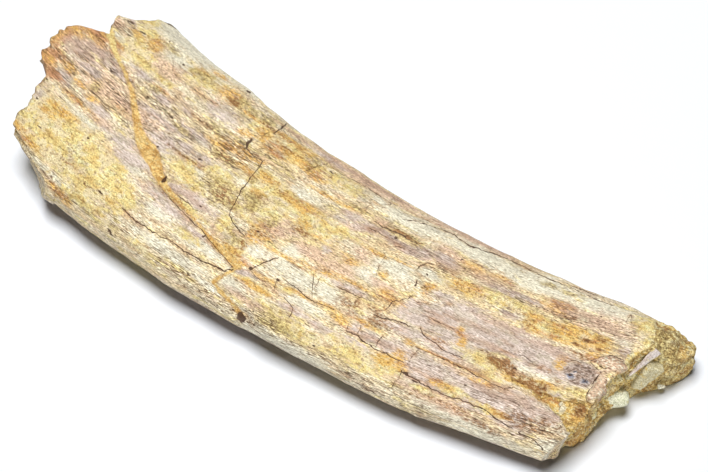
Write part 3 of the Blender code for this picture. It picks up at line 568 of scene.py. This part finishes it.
bpy.ops.object.modifier_apply(modifier=rounding.name)

# The hidden flat underside is thinned. Cracks, pores and small forms get a finer mesh in two
# rounds, out to a distance in millimetres.
UNDERSIDE_HEIGHT = 0.0045
UNDERSIDE_SHARE_KEPT = 0.2
FINER_REACHES = (0.6, 0.32)
centres, face_turns = read_faces(rib.data)
select_faces(rib.data, (face_turns[:, 2] < -0.5) & (centres[:, 2] < UNDERSIDE_HEIGHT))
bpy.ops.object.mode_set(mode="EDIT")
bpy.ops.mesh.select_mode(type="FACE")
bpy.ops.mesh.decimate(ratio=UNDERSIDE_SHARE_KEPT)
bpy.ops.object.mode_set(mode="OBJECT")
for finer_reach in FINER_REACHES:
    centres, face_turns = read_faces(rib.data)
    along, across, height = rib_places(centres)
    near = inside_ovals(PORES + NODULES + WHITE_CRYSTAL, along, across) > -0.3
    for _, outline in FLAKES:
        near |= np.abs(inside_outline(outline, along, across)) < finer_reach
    for _, path in CRACKS:
        near |= path_distance(path, along, across)[0] < finer_reach
    select_faces(rib.data, near & (face_turns[:, 2] > 0.1))
    bpy.ops.object.mode_set(mode="EDIT")
    bpy.ops.mesh.select_mode(type="FACE")
    bpy.ops.mesh.subdivide(number_cuts=1)
    bpy.ops.object.mode_set(mode="OBJECT")

# A pull reaches further up and down than it does sideways.
PULL_SHAPE = (1.0, 1.0, 0.4)
points, _ = read_mesh(rib.data)
for centre, reach, move in PULLS:
    away = (points * 1000.0 - centre) * PULL_SHAPE
    share = 1.0 - smooth(0.0, reach, np.sqrt((away ** 2).sum(axis=1)))
    points += share[:, None] * np.array(move) / 1000.0
rib.data.vertices.foreach_set("co", points.ravel())
rib.data.update()

# Uneven noise over the whole stone, and where its bone, rock and breaks lie
points, normals = read_mesh(rib.data)
along, across, height = rib_places(points)
slow = streak_noise(along, across, height, 11.0, 3.4, 1.0)
quick = streak_noise(along, across, height, 2.8, 1.1, 2.0)
grit = streak_noise(along, across, height, 1.0, 1.0, 3.0)
coarse = streak_noise(along, across, height, 2.2, 2.2, 4.0)
lumps = np.abs(streak_noise(along, across, height, 5.0, 4.0, 6.0))
rubble = np.abs(streak_noise(along, across, height, 2.4, 2.2, 7.0))

stop = np.interp(across, *zip(*BONE_STOP))
rock_depth = np.maximum(along - stop, inside_outline(ROCK_STEP, along, across))
tangent = np.column_stack((np.cos(along / BOW_RADIUS), np.sin(along / BOW_RADIUS)))
facing_along = (normals[:, :2] * tangent).sum(axis=1)
left_break = smooth(0.45, 0.8, -facing_along) * (along < -55.0)
facing_up = smooth(-0.35, 0.05, normals[:, 2])
under = 3.0 * streak_noise(along, across, height, 26.0, 9.0, 12.0)

# Shares of each finish: 1 in the middle of a stain, 0 at its edge and negative outside it
OUTLINE_EDGE = 2.4
FLAKE_FLOOR = 14.0
shares = {name: inside_ovals(ovals, along, across) for name, ovals in STAINS.items()}
for name, outlines in OUTLINES.items():
    for outline in outlines:
        inner = inside_outline(outline, along, across) / OUTLINE_EDGE
        shares[name] = np.maximum(shares[name], np.minimum(inner, 1.0))
for name, turn in (("mauve", 1.0), ("crust", -1.0)):
    shares[name] = shares[name] * facing_up + (turn * under - 0.5) * (1.0 - facing_up)
crack, crack_distance = crack_share(along, across, height)
shares["crack"] = crack * facing_up
shares["crack_side"] = (1.0 - smooth(0.0, 1.2, crack_distance)) * facing_up
shares["vein"] = vein_depth(along, across) * facing_up - 3.0 * (1.0 - facing_up)
shares["rock"] = rock_depth
shares["break"] = left_break
# level: the upward-facing faces, most of all towards the far side of the broken end; the material
# paints shade on the rock there.
shares["level"] = smooth(0.55, 0.9, normals[:, 2]) * (0.3 + 0.7 * smooth(8.0, 12.0, across))
# crease: the low creases between the lumps and rubble of the rock's relief; the material paints
# shade in them.
shares["crease"] = 1.0 - np.minimum(lumps / 0.10, rubble / 0.09)
shares["nodule"] = inside_outline(HOLLOW, along, across)
shares["blue"] = inside_ovals(NODULES, along, across)
shares["white"] = inside_ovals(WHITE_CRYSTAL, along, across)
flake_depths = [inside_outline(outline, along, across) for _, outline in FLAKES]
shares["flake"] = np.maximum(*flake_depths) + np.where(height > FLAKE_FLOOR, 0.0, -2.0)

# Relief in millimetres: fibres of the bone, crusts and crumbs of the rock, flakes, vein, cracks
bare = 1.0 - smooth(-0.2, 0.3, shares["crust"] + 0.3 * slow + 0.2 * quick)
rocky = smooth(-0.4, 0.6, rock_depth + 0.4 * quick)
in_vein = smooth(-0.2, 0.3, shares["vein"])
relief = 0.12 * slow + bare * (1.0 - rocky) * (0.10 * quick + 0.04 * grit)
relief += (1.0 - bare) * (0.10 + 0.10 * coarse + 0.07 * grit)
relief += rocky * (2.4 * lumps + 1.1 * rubble + 0.24 * grit - 0.7)
relief -= 0.5 * smooth(-0.1, 0.5, rock_depth + 0.5 * coarse)
relief += smooth(-0.1, 0.5, shares["nodule"]) * (0.25 * grit + 0.15 * coarse - 0.30)
relief += 0.45 * smooth(0.0, 0.7, shares["blue"]) + 0.7 * smooth(0.0, 0.6, shares["white"])
for (rise, _), depth in zip(FLAKES, flake_depths):
    relief += (rise + 0.2 * quick) * smooth(-0.1, 0.3, depth) * (height > FLAKE_FLOOR)
relief += in_vein * (-0.25 + 0.12 * grit)
relief += left_break * (1.4 * rubble + 0.7 * coarse + 0.40 * grit - 0.4)
relief -= 0.25 * smooth(0.1, 0.9, shares["crack"])
relief *= smooth(0.0, 1.5, height)
points += normals * relief[:, None] / 1000.0
points = np.clip(points, cad_box[0], cad_box[1])
rib.data.vertices.foreach_set("co", points.ravel())

# The material reads the places and the shares from the mesh.
places = rib.data.attributes.new("place", "FLOAT_VECTOR", "POINT")
places.data.foreach_set("vector", np.column_stack((along, across, height)).ravel())
for name, share in shares.items():
    attribute = rib.data.attributes.new(name, "FLOAT", "POINT")
    attribute.data.foreach_set("value", np.clip(share, FAR_OUTSIDE, -FAR_OUTSIDE))
rib.data.update()
bpy.ops.object.shade_smooth()


class Wire:
    """A socket of a material, so that shader maths reads as an expression."""

    def __init__(self, finish, socket):
        self.finish = finish
        self.socket = socket

    def __add__(self, other):
        return self.finish.maths("ADD", self, other)

    def __sub__(self, other):
        return self.finish.maths("SUBTRACT", self, other)

    def __rsub__(self, other):
        return self.finish.maths("SUBTRACT", other, self)

    def __mul__(self, other):
        return self.finish.maths("MULTIPLY", self, other)

    def __abs__(self):
        return self.finish.maths("ABSOLUTE", self, 0.0)

    __radd__ = __add__
    __rmul__ = __mul__

    def rise(self, low, high):
        """From 0 where the value is low to 1 where it is high, with level ends."""
        settings = {"interpolation_type": "SMOOTHSTEP"}
        sockets = {"Value": self, "From Min": low, "From Max": high}
        return self.finish.add("ShaderNodeMapRange", settings, sockets)


class Finish:
    """A material, and the nodes that make its look."""

    def __init__(self, name):
        self.material = bpy.data.materials.new(name)
        self.material.use_nodes = True
        self.tree = self.material.node_tree
        self.shader = self.tree.nodes["Principled BSDF"]

    def add(self, kind, settings, sockets, output=0):
        """One node: its type, its settings, and the values or links of its sockets."""
        node = self.tree.nodes.new(kind)
        for name, value in settings.items():
            setattr(node, name, value)
        for key, value in sockets.items():
            self.feed(node.inputs[key], value)
        return Wire(self, node.outputs[output])

    def feed(self, socket, value):
        """Link or set a socket."""
        if isinstance(value, Wire):
            self.tree.links.new(value.socket, socket)
        else:
            socket.default_value = value

    def maths(self, operation, first, second):
        return self.add("ShaderNodeMath", {"operation": operation}, {0: first, 1: second})

    def layer(self, colour, *layers, mode="MIX"):
        """Tones laid over a colour one after the other, each by its share of the surface."""
        settings = {"data_type": "RGBA", "blend_type": mode}
        for share, tone in layers:
            colour = self.add("ShaderNodeMix", settings, {0: share, 6: colour, 7: tone}, 2)
        return colour

    def bump(self, strength, depth, height):
        """Fine relief of the finish, by a height that is scaled to a depth in metres."""
        sockets = {"Strength": strength, "Distance": depth, "Height": height}
        self.feed(self.shader.inputs["Normal"], self.add("ShaderNodeBump", {}, sockets))

    def attribute(self, name, output="Fac"):
        return self.add("ShaderNodeAttribute", {"attribute_name": name}, {}, output)

    def streaks(self, place, length, width, seed, detail=2.0, roughness=0.5):
        """Noise in streaks of a length along the grain and a width across it."""
        scale = (1.0 / length, 1.0 / width, 1.0 / width)
        shift = (seed * 3.7, seed * 1.3, -seed * 2.1)
        moved = self.add(
            "ShaderNodeVectorMath", {"operation": "MULTIPLY_ADD"}, {0: place, 1: scale, 2: shift}
        )
        sockets = {"Vector": moved, "Scale": 1.0, "Detail": detail, "Roughness": roughness}
        return self.add("ShaderNodeTexNoise", {}, sockets)


STONE_GLOSS = 0.35
LIGHT_GAIN = 1.56


def tint(red, green, blue):
    """Linear colour of a finish that is seen as these eight-bit values under the studio light."""
    shares = [value / 255.0 for value in (red, green, blue)]
    linear = [((share + 0.055) / 1.055) ** 2.4 for share in shares]
    return (*[value / LIGHT_GAIN for value in linear], 1.0)


CREAM = tint(248, 232, 196)
WARM_CREAM = tint(242, 218, 168)
PINK_CREAM = tint(232, 202, 172)
TAN = tint(228, 194, 148)
PALE_CREAM = tint(249, 241, 214)
MAUVE = tint(222, 202, 186)
MAUVE_BROWN = tint(218, 188, 164)
MAUVE_PALE = tint(236, 218, 204)
GREY_BEIGE = tint(208, 194, 166)
PINK = tint(236, 198, 168)
CRUST_YELLOW = tint(248, 226, 152)
CRUST_BRIGHT = tint(255, 246, 186)
CRUST_OCHRE = tint(234, 202, 128)
OCHRE = tint(236, 188, 102)
RUST = tint(206, 150, 92)
TONGUE_RUST = tint(212, 150, 98)
BROWN = tint(164, 116, 68)
UMBER = tint(158, 112, 64)
PLUM = tint(198, 160, 132)
OLIVE = tint(162, 136, 82)
VEIN_OCHRE = tint(244, 206, 130)
VEIN_BROWN = tint(212, 164, 90)
ROCK_OCHRE = tint(246, 212, 124)
ROCK_PALE = tint(255, 246, 196)
ROCK_BROWN = tint(200, 158, 94)
ROCK_DARK = tint(122, 88, 48)
FLAKE_PINK = tint(232, 200, 166)
NODULE_MAUVE = tint(190, 166, 148)
NODULE_BLUE = tint(130, 130, 142)
NODULE_RIM = tint(214, 204, 198)
HOLLOW_BROWN = tint(146, 118, 98)
CRYSTAL_WHITE = tint(255, 246, 214)
CRACK_BROWN = tint(86, 58, 38)

# Fine lines and grains only shade the colour under them.
GRAIN_DARK = (0.28, 0.23, 0.17, 1.0)
GRAIN_LIGHT = (1.66, 1.72, 1.80, 1.0)
LINE_DARK = (0.34, 0.26, 0.20, 1.0)

bone = Finish("petrified_bone_and_sandy_rock")
spot = bone.attribute("place", "Vector")
lobes = bone.streaks(spot, 6.0, 1.8, 1.0, 3.0, 0.6) - 0.5
flecks = bone.streaks(spot, 1.8, 0.55, 2.0, 2.0, 0.6) - 0.5
grit_lobes = bone.streaks(spot, 1.7, 1.3, 3.0, 3.0, 0.65) - 0.5
streaky_edge = 2.6 * lobes + 1.6 * flecks
gritty_edge = 1.6 * lobes + 2.4 * grit_lobes


def stain(name, edge, softness):
    """Share of a finish at a place, with its edge broken up."""
    return (bone.attribute(name) + edge).rise(-softness, softness)


broad = bone.streaks(spot, 14.0, 4.0, 4.0)
blush = bone.streaks(spot, 6.0, 2.2, 11.0, 3.0, 0.6)
tone = bone.streaks(spot, 7.0, 1.6, 10.0, 3.0, 0.65)
lines = bone.streaks(spot, 5.0, 0.21, 5.0, 1.0)
dashes = bone.streaks(spot, 2.2, 0.22, 6.0, 0.0)
cluster = bone.streaks(spot, 8.0, 2.4, 7.0)
fissures = bone.streaks(spot, 9.0, 0.75, 15.0, 1.0)
seams = bone.streaks(spot, 5.0, 0.55, 16.0, 1.0)
fine_grain = bone.streaks(spot, 0.70, 0.25, 8.0, 0.0)
sand_grain = bone.streaks(spot, 0.36, 0.30, 13.0, 0.0)
patches = bone.streaks(spot, 4.0, 3.2, 14.0, 3.0, 0.6)
speckle = bone.streaks(spot, 0.9, 0.6, 12.0, 2.0, 0.7)
sand_lumps = bone.streaks(spot, 2.4, 1.8, 9.0, 3.0, 0.6)
dots = bone.streaks(spot, 0.9, 0.62, 17.0, 0.0)

crust_share = stain("crust", gritty_edge, 0.5)
pale_share = stain("pale", streaky_edge, 0.6)
mauve_share = stain("mauve", streaky_edge, 0.5)
rock_share = stain("rock", 2.4 * grit_lobes, 0.3)
vein_share = stain("vein", 1.4 * grit_lobes, 0.3)
flake_share = stain("flake", 0.5 * grit_lobes, 0.3)

mauve_tone = bone.layer(
    MAUVE,
    (tone.rise(0.48, 0.64), MAUVE_BROWN),
    (broad.rise(0.48, 0.34) * 0.8, MAUVE_PALE),
    (patches.rise(0.50, 0.60) * 0.5, GREY_BEIGE),
)
bone_tone = bone.layer(
    CREAM,
    (broad.rise(0.44, 0.60), WARM_CREAM),
    (tone.rise(0.50, 0.66) * 0.6, PINK_CREAM),
    (blush.rise(0.54, 0.64) * 0.7, TAN),
    (blush.rise(0.46, 0.34) * 0.8, CRUST_YELLOW),
    (pale_share, PALE_CREAM),
    (stain("pink", streaky_edge, 0.6) * 0.75, PINK),
    (mauve_share, mauve_tone),
    (stain("rust", streaky_edge, 0.6) * 0.9, TONGUE_RUST),
)
crust_tone = bone.layer(
    CRUST_YELLOW,
    (sand_lumps.rise(0.50, 0.64), CRUST_OCHRE),
    (sand_lumps.rise(0.46, 0.36), CRUST_BRIGHT),
    (blush.rise(0.56, 0.68) * 0.4, OCHRE),
    (patches.rise(0.50, 0.58) * 0.6, CREAM),
    (tone.rise(0.54, 0.66) * 0.5, PINK_CREAM),
    (speckle.rise(0.56, 0.66) * 0.6, CRUST_OCHRE),
    (speckle.rise(0.66, 0.72) * 0.8, RUST),
)
# Painted shade on the rock's upward-facing top.
rock_top_shade = (bone.attribute("level") + 1.2 * grit_lobes).rise(0.2, 1.0)
# Painted shade in the creases between the rock's lumps.
rock_crease_shade = (bone.attribute("crease") + 1.6 * grit_lobes).rise(0.2, 0.9)
rock_tone = bone.layer(
    ROCK_OCHRE,
    (patches.rise(0.50, 0.62), ROCK_BROWN),
    (patches.rise(0.45, 0.36), ROCK_PALE),
    (blush.rise(0.56, 0.68) * 0.7, OCHRE),
    (broad.rise(0.50, 0.60) * 0.5, ROCK_BROWN),
    (broad.rise(0.46, 0.38) * 0.6, CRUST_BRIGHT),
    # painted shade on the rock's upward-facing top
    (rock_top_shade * 0.55, ROCK_DARK),
    # painted shade in the creases between the rock's lumps
    (rock_crease_shade * 0.45, ROCK_DARK),
    (speckle.rise(0.54, 0.61) * 0.65, ROCK_DARK),
    (speckle.rise(0.45, 0.37) * 0.8, ROCK_PALE),
)
spongy_tone = bone.layer(
    CRUST_YELLOW,
    (patches.rise(0.44, 0.58), TAN),
    (broad.rise(0.50, 0.60) * 0.7, TONGUE_RUST),
    (speckle.rise(0.53, 0.62) * 0.8, ROCK_DARK),
    (speckle.rise(0.44, 0.36) * 0.8, CREAM),
)
ochre_tone = bone.layer(OCHRE, (tone.rise(0.48, 0.64), RUST))
olive_tone = bone.layer(CRUST_YELLOW, (speckle.rise(0.38, 0.56), OLIVE))
hollow_tone = bone.layer(
    NODULE_MAUVE,
    (speckle.rise(0.48, 0.62), HOLLOW_BROWN),
    (speckle.rise(0.44, 0.36) * 0.8, MAUVE_PALE),
)
upper_vein = bone.add("ShaderNodeSeparateXYZ", {}, {0: spot}).rise(-70.0, -80.0)
vein_tone = bone.layer(
    VEIN_OCHRE,
    (sand_lumps.rise(0.44, 0.60), VEIN_BROWN),
    (upper_vein * 0.8, CRUST_YELLOW),
    (speckle.rise(0.54, 0.62) * 0.6, VEIN_BROWN),
    (speckle.rise(0.44, 0.36) * 0.6, CRUST_BRIGHT),
)
flake_tone = bone.layer(
    FLAKE_PINK,
    (speckle.rise(0.50, 0.62), PLUM),
    (speckle.rise(0.46, 0.38), PALE_CREAM),
)

break_share = (bone.attribute("break") + 1.2 * grit_lobes).rise(0.3, 0.7)
ochre_share = stain("ochre", streaky_edge, 0.6) * (0.4 + 0.6 * speckle.rise(0.38, 0.54))
brown_share = stain("brown", streaky_edge, 0.7) * speckle.rise(0.38, 0.60)
umber_share = stain("umber", gritty_edge, 0.4) * (0.6 + 0.4 * speckle.rise(0.36, 0.5))
nodule = bone.attribute("blue") + 1.6 * grit_lobes
crack_side = bone.attribute("crack_side") * tone.rise(0.44, 0.60)
# A brown rim around the vein: partly a brown border of the rock, partly painted shade along the
# edge of the sunken vein.
vein_rim_and_shade = (bone.attribute("vein") + 1.2 * grit_lobes).rise(-0.45, -0.05)
vein_rim_and_shade = vein_rim_and_shade * tone.rise(0.42, 0.56)
colour = bone.layer(
    bone_tone,
    (crust_share, crust_tone),
    (rock_share, rock_tone),
    (break_share * 0.85, spongy_tone),
    (ochre_share, ochre_tone),
    (stain("olive", gritty_edge, 0.6) * 0.8, olive_tone),
    (brown_share * 0.9, BROWN),
    (umber_share, UMBER),
    (stain("plum", streaky_edge, 0.6) * 0.55, PLUM),
    (stain("nodule", grit_lobes, 0.4), hollow_tone),
    (nodule.rise(-0.2, 0.2) * 0.8, NODULE_RIM),
    (nodule.rise(0.2, 0.5), NODULE_BLUE),
    (nodule.rise(0.62, 0.85), CRACK_BROWN),
    (crack_side * 0.4, RUST),
    # brown rim of the vein, partly painted shade
    (vein_rim_and_shade * 0.4, BROWN),
    (vein_share, vein_tone),
    (flake_share, flake_tone),
    (stain("white", 0.5 * grit_lobes, 0.3), CRYSTAL_WHITE),
)

# Fine lines run along bare bone, and grains lie on all of it, finer where it is sandy.
sandy = bone.maths("MAXIMUM", crust_share, bone.maths("MAXIMUM", vein_share, rock_share))
sandy = sandy * (1.0 - flake_share)
grain = fine_grain * (1.0 - sandy) + sand_grain * sandy
fibrous = (bone.attribute("fibre") + 2.0 * lobes).rise(-0.8, 0.8)
smoothness = 1.0 - 0.3 * bone.maths("MAXIMUM", mauve_share, pale_share)
combed = (0.40 + 0.50 * fibrous) * (1.0 - 0.65 * sandy) * smoothness
dark_lines = lines + 0.25 * cluster + 0.01 * fibrous
dark_dashes = dashes + 0.25 * cluster + 0.05 * fibrous
fissure = abs(fissures - 0.5).rise(0.020, 0.006)
seam = abs(seams - 0.5).rise(0.024, 0.008)
seam = seam * cluster.rise(0.40, 0.62)
hairlines = bone.maths("MAXIMUM", fissure * tone.rise(0.46, 0.60), seam)
graininess = (0.44 + 0.40 * speckle.rise(0.42, 0.60)) * smoothness * (1.0 - 0.35 * sandy)
graininess = graininess + 0.3 * bone.attribute("nodule").rise(0.0, 0.5)
pits = (dots + 0.24 * blush).rise(0.72, 0.82) * (0.2 + 0.8 * sandy - 0.5 * vein_share)
colour = bone.layer(
    colour,
    # Lighter where the lines' bump relief has its crests: partly the bone's pale streaks, partly
    # painted highlight.
    (lines.rise(0.47, 0.34) * combed * 0.8, GRAIN_LIGHT),
    # Darker where the lines' bump relief has its grooves: partly the bone's dark streaks, partly
    # painted shade.
    (dark_lines.rise(0.69, 0.82) * combed, GRAIN_DARK),
    (dark_dashes.rise(0.76, 0.84) * combed * 1.3, LINE_DARK),
    (hairlines * combed * 1.2, LINE_DARK),
    (grain.rise(0.47, 0.28) * graininess, GRAIN_LIGHT),
    (grain.rise(0.53, 0.72) * graininess, GRAIN_DARK),
    (pits * 0.55, LINE_DARK),
    mode="MULTIPLY",
)
crack_core = (bone.attribute("crack") + 0.7 * grit_lobes).rise(0.14, 0.44)
colour = bone.layer(colour, (crack_core * 0.95, CRACK_BROWN))
bone.feed(bone.shader.inputs["Base Color"], colour)

# The bump sinks the lines where they are painted dark and raises them where they are painted light.
surface = combed * (0.6 * lines + 0.4 * dashes) * -1.0 + 0.3 * grain - 0.4 * hairlines
surface = surface + sandy * 0.6 * sand_lumps
bone.bump(0.7, 0.00035, surface)
bone.feed(bone.shader.inputs["Roughness"], 0.62 + 0.25 * sandy)
bone.shader.inputs["Specular IOR Level"].default_value = STONE_GLOSS
rib.data.materials.clear()
rib.data.materials.append(bone.material)
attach(rib, "root")
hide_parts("rib")

# ---------------------------------------------------------------------------------------------
# Four small pieces held in the sandy rock of the broken end: a splinter of mauve bone, a long
# block, a pebble and a chip, all of pale stone. They fell in before the sand set to rock.


def settle(piece, place, run, out):
    """Put a piece's place (millimetres), the way it runs and its outward side into its mesh."""
    run = Vector(run).normalized()
    side = Vector(out).cross(run).normalized()
    turn = Matrix((run, side, run.cross(side))).transposed().to_4x4()
    piece.data.transform(Matrix.Translation(Vector(place) / 1000.0) @ turn)


def pale_stone(name, light, dark, veil):
    """A pale stone: two tones in streaks along the piece, and a veil of sand in patches."""
    stone = Finish(name)
    spot = stone.add("ShaderNodeTexCoord", {}, {}, "Object")
    spot = stone.add("ShaderNodeVectorMath", {"operation": "SCALE"}, {0: spot, "Scale": 1000.0})
    streak = stone.streaks(spot, 1.6, 0.8, 1.0, 3.0, 0.6)
    sand = stone.streaks(spot, 2.0, 2.0, 2.0, 4.0, 0.7)
    grain = stone.streaks(spot, 0.34, 0.3, 3.0, 0.0)
    colour = stone.layer(
        light,
        (streak.rise(0.42, 0.60), dark),
        (sand.rise(0.56, 0.66) * 0.8, veil),
    )
    colour = stone.layer(
        colour,
        (grain.rise(0.47, 0.28) * 0.4, GRAIN_LIGHT),
        (grain.rise(0.53, 0.72) * 0.45, GRAIN_DARK),
        mode="MULTIPLY",
    )
    stone.feed(stone.shader.inputs["Base Color"], colour)
    stone.bump(0.5, 0.0003, sand + 0.5 * grain)
    stone.shader.inputs["Roughness"].default_value = 0.55
    stone.shader.inputs["Specular IOR Level"].default_value = STONE_GLOSS
    return stone.material


def weather(piece, depth, size):
    """Wear a finely divided piece's surface in and out by a depth in millimetres."""
    points, normals = read_mesh(piece.data)
    wear = streak_noise(*(points.T * 1000.0), size, size * 0.7, 8.0)
    points += normals * wear[:, None] * depth / 1000.0
    piece.data.vertices.foreach_set("co", points.ravel())
    piece.data.update()


# Each one's name, its size along, across and deep, how far its far end narrows, its rounding and
# wear, its middle, run and outward side, how often it is smoothed, and its material. Lengths are
# in millimetres.
HELD_PIECES = [
    (
        "splinter", (9.8, 1.9, 1.4), (0.10, 0.5), 0.10, 0.12, (87.2, 13.0, 15.0),
        (-3.0, -7.3, -3.8), (0.66, -0.70, 0.30), 1,
        pale_stone("mauve_splinter", tint(236, 224, 216), tint(216, 198, 188), ROCK_PALE),
    ),
    (
        "block", (9.8, 5.2, 3.2), (0.60, 0.7), 0.7, 0.25, (88.5, 12.8, 9.6),
        (-2.6, -4.2, -8.0), (0.64, -0.74, 0.20), 6,
        pale_stone("pale_block", tint(232, 222, 182), tint(204, 190, 146), ROCK_OCHRE),
    ),
    (
        "pebble", (10.6, 6.0, 6.0), (0.8, 0.8), 1.8, 0.05, (83.3, 3.7, 6.2),
        (0.84, 0.55, 0.0), (0.28, -0.42, 0.87), 70,
        pale_stone("pale_pebble", tint(242, 240, 210), tint(218, 218, 182), CRUST_YELLOW),
    ),
    (
        "chip", (2.0, 1.4, 1.4), (0.6, 0.7), 0.3, 0.10, (92.3, 15.5, 3.1),
        (0.84, 0.55, 0.0), (0.28, -0.42, 0.87), 8,
        pale_stone("pale_chip", tint(250, 246, 220), tint(236, 224, 190), ROCK_PALE),
    ),
]
BROAD_WEAR = 1.6
FINE_WEAR = 0.6
SHARP_CHIP = math.radians(40.0)
for name, size, narrows, rounding, wear, middle, run, out, smoothings, stone in HELD_PIECES:
    bpy.ops.object.select_all(action="DESELECT")
    bpy.ops.mesh.primitive_cube_add(size=0.001, scale=size)
    piece = bpy.context.object
    piece.name = name
    bpy.ops.object.transform_apply(location=False, rotation=False, scale=True)
    _, face_turns = read_faces(piece.data)
    select_faces(piece.data, face_turns[:, 0] > 0.9)
    bpy.ops.object.mode_set(mode="EDIT")
    bpy.ops.mesh.select_mode(type="FACE")
    bpy.ops.transform.resize(value=(1.0, *narrows))
    bpy.ops.mesh.select_all(action="SELECT")
    bpy.ops.mesh.bevel(offset=rounding / 1000.0, segments=3, affect="EDGES")
    bpy.ops.mesh.select_all(action="SELECT")
    bpy.ops.mesh.subdivide(number_cuts=5)
    bpy.ops.mesh.vertices_smooth(factor=0.5, repeat=smoothings)
    bpy.ops.mesh.normals_make_consistent(inside=False)
    bpy.ops.object.mode_set(mode="OBJECT")
    weather(piece, wear, BROAD_WEAR)
    weather(piece, wear * 0.5, FINE_WEAR)
    settle(piece, middle, run, out)
    bpy.ops.object.shade_smooth_by_angle(angle=SHARP_CHIP)
    piece.data.materials.append(stone)
    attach(piece, "root")
    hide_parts("rib")
    filled_side.objects.link(piece)
